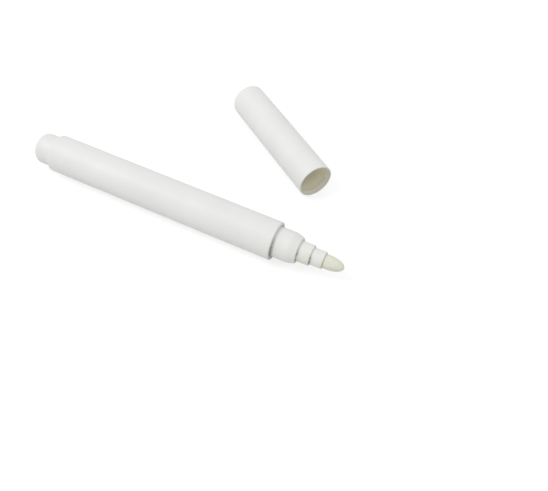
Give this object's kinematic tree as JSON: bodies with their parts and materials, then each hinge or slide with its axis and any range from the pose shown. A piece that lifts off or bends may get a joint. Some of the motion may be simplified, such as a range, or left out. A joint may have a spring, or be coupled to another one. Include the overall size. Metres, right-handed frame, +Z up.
{
  "type": "liquid chalk marker",
  "caption": "Slim round liquid chalk marker with a stepped nose and bullet nib, a pump valve and mixing ball inside, and its plain cap pulled off and lying beside it.",
  "frame": {"origin": "on the floor under the middle of the box round the marker and its cap", "axes": "+X along the marker to its nib, +Y from the marker to the cap, +Z up"},
  "size_m": [0.1058, 0.0658, 0.012],
  "materials": {
    "white_plastic": "satin moulded",
    "nib_fibre": "bonded fibre, matt",
    "soft_seal": "matt",
    "valve_plastic": "natural moulded",
    "spring_steel": "drawn bright",
    "liner_plastic": "soft matt"
  },
  "bodies": {
    "barrel": {"barrel": "white_plastic", "end_plug": "white_plastic", "nose_collar": "white_plastic", "nib_holder": "white_plastic", "valve_seal": "soft_seal", "valve_cage": "valve_plastic", "valve_spring": "spring_steel"},
    "nib": {"nib": "nib_fibre", "valve_stem": "valve_plastic"},
    "ball": {"mixing_ball": "spring_steel"},
    "cap": {"cap": "white_plastic", "cap_inner_cup": "liner_plastic"}
  },
  "joints": [
    {"name": "nib_press", "type": "slide", "parent": "barrel", "child": "nib", "axis": [-1, 0, 0], "range_m": [0, 0.0025], "stiffness_N_per_m": 400, "springref_m": -0.003, "deforming": ["valve_spring"]},
    {"name": "ball_run", "type": "slide", "parent": "barrel", "child": "ball", "axis": [1, 0, 0], "range_m": [-0.02542, 0.02542]},
    {"name": "cap_push", "type": "slide", "parent": "barrel", "child": "cap", "axis": [0.8181, -0.575, 0], "range_m": [0, 0.0216]}
  ]
}
